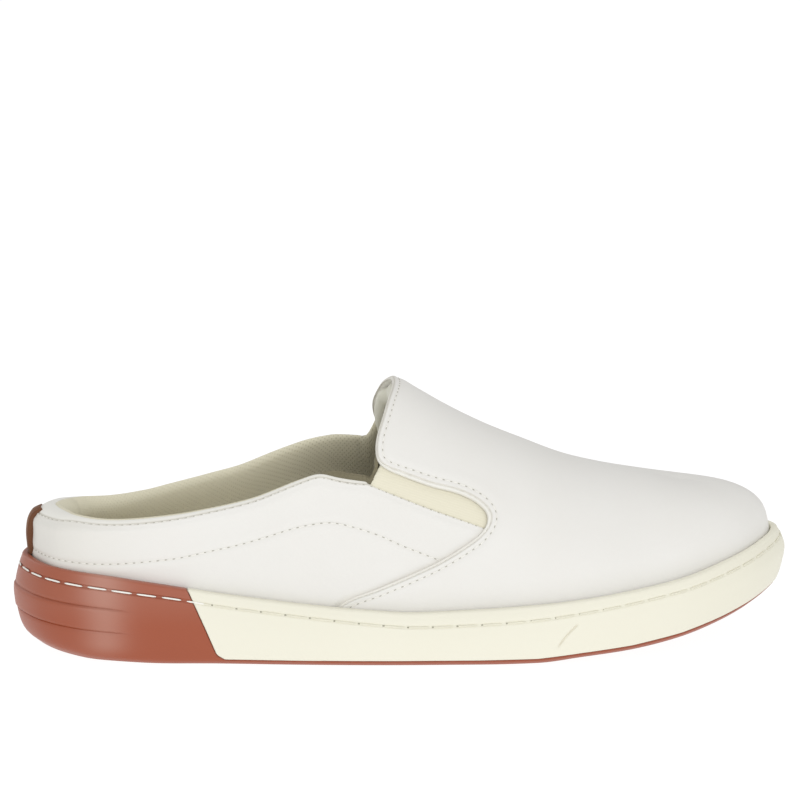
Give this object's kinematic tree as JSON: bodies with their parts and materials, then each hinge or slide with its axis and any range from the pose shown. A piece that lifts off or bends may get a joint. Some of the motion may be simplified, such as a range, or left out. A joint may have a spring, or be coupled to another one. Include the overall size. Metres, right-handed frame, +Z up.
{
  "type": "slip-on sneaker",
  "caption": "Low slip-on sneaker, right shoe, with a leather upper, elastic side gores, a padded tongue and collar, and a two-colour rubber cup sole",
  "frame": {"origin": "On the floor plane, at the middle of the sole's bounding box", "axes": "+X points from heel to toe, +Y to the medial (inner) side of this right shoe, +Z up from the floor"},
  "size_m": [0.303, 0.1094, 0.1015],
  "materials": {
    "terracotta_rubber": "satin moulded rubber",
    "cream_rubber": "matte moulded rubber",
    "white_leather": "smooth, slightly glossy",
    "elastic": "fine ribbed elastic webbing",
    "tongue_leather": "soft, creased, satin",
    "brown_leather": "smooth, satin",
    "lining_knit": "soft knitted mesh"
  },
  "bodies": {
    "root": {"outsole": "terracotta_rubber", "midsole": "cream_rubber", "upper": "white_leather", "vamp": "white_leather", "gore_lateral": "elastic", "gore_medial": "elastic", "tongue": "tongue_leather", "heel_tab": "brown_leather", "insole": "lining_knit"}
  },
  "joints": []
}
